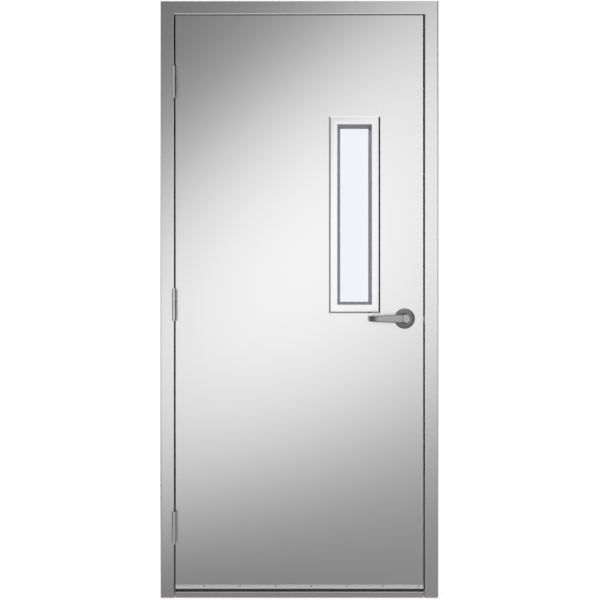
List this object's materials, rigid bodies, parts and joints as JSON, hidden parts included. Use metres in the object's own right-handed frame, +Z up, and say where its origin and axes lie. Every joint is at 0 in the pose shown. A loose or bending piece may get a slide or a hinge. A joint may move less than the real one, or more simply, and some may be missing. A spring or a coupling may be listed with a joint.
{
  "type": "hollow-metal door with frame",
  "caption": "Stainless hollow-metal door with a narrow vision lite, lever latch and bottom sweep, hung on knuckle hinges in a double-rabbet frame with a sill.",
  "frame": {"origin": "on the floor, at the centre of the floor anchors' hole pattern: midway between the jambs and midway through the frame's depth", "axes": "+X to the right as seen from the pull side, towards the lock; +Y into the wall, away from the pull side; +Z up"},
  "size_m": [1.016, 0.2098, 2.1844],
  "materials": {
    "frame_stainless": "vertical satin grain",
    "sill_stainless": "satin grain along its length",
    "door_stainless": "vertical satin grain",
    "lite_stainless": "satin grain along each member",
    "hinge_stainless": "satin",
    "lever_stainless": "fine satin",
    "latch_stainless": "satin",
    "cylinder_nickel": "satin nickel",
    "zinc_steel": "plain zinc-coated",
    "screw_stainless": "plain turned",
    "carrier_aluminium": "clear anodised",
    "black_rubber": "matt",
    "grey_gasket": "matt",
    "clear_glass": "clear, polished"
  },
  "bodies": {
    "frame": {"hinge_jamb": "frame_stainless", "strike_jamb": "frame_stainless", "frame_head": "frame_stainless", "sill": "sill_stainless", "sill_brackets": "zinc_steel", "floor_anchors": "zinc_steel", "jamb_anchors": "zinc_steel", "frame_hinge_plates": "zinc_steel", "frame_hinge_screws": "screw_stainless", "hinge_bearings": "hinge_stainless", "strike_plate": "latch_stainless", "strike_screws": "screw_stainless", "strike_reinforcement": "zinc_steel", "dust_box": "zinc_steel", "silencers": "black_rubber", "frame_leaf_top": "hinge_stainless", "frame_leaf_middle": "hinge_stainless", "frame_leaf_bottom": "hinge_stainless", "hinge_pin_top": "hinge_stainless", "hinge_pin_middle": "hinge_stainless", "hinge_pin_bottom": "hinge_stainless"},
    "door": {"back_skin": "door_stainless", "bottom_channel": "zinc_steel", "core_stiffeners": "zinc_steel", "door_hinge_plates": "zinc_steel", "door_hinge_screws": "screw_stainless", "door_leaf_bottom": "hinge_stainless", "door_leaf_middle": "hinge_stainless", "door_leaf_top": "hinge_stainless", "faceplate_screws": "screw_stainless", "front_skin": "door_stainless", "glass_pane": "clear_glass", "glazing_gaskets": "grey_gasket", "inside_mount_plate": "zinc_steel", "inside_rose": "lever_stainless", "latch_faceplate": "latch_stainless", "latch_tube": "zinc_steel", "lite_back_frame": "lite_stainless", "lite_channel": "zinc_steel", "lite_front_frame": "lite_stainless", "lite_screws": "screw_stainless", "lock_box": "zinc_steel", "lock_chassis": "zinc_steel", "outside_mount_plate": "zinc_steel", "outside_rose": "lever_stainless", "sweep_carrier": "carrier_aluminium", "sweep_lip": "black_rubber", "sweep_screws": "screw_stainless", "through_bolts": "zinc_steel", "top_channel": "zinc_steel"},
    "levers": {"outside_lever": "lever_stainless", "inside_lever": "lever_stainless", "spindle": "zinc_steel", "key_cylinder": "cylinder_nickel"},
    "latch": {"latch_bolt": "latch_stainless"},
    "key": {"key_plug": "cylinder_nickel"}
  },
  "joints": [
    {"name": "door_swing", "type": "hinge", "parent": "frame", "child": "door", "pos_m": [-0.4556, -0.09208, 1.0725], "axis": [0, 0, -1], "range_deg": [0, 175]},
    {"name": "lever_turn", "type": "hinge", "parent": "door", "child": "levers", "pos_m": [0.38415, -0.0508, 1.022], "axis": [0, -1, 0], "range_deg": [0, 50], "stiffness_Nm_per_rad": 2, "springref_deg": -34.38},
    {"name": "latch_slide", "type": "slide", "parent": "door", "child": "latch", "axis": [-1, 0, 0], "range_m": [0, 0.0127]},
    {"name": "key_turn", "type": "hinge", "parent": "levers", "child": "key", "pos_m": [0.38415, -0.12, 1.022], "axis": [0, -1, 0], "range_deg": [0, 90]}
  ],
  "couplings": [
    {"joint": "latch_slide", "follows": "lever_turn", "m_per_rad": 0.01455}
  ]
}
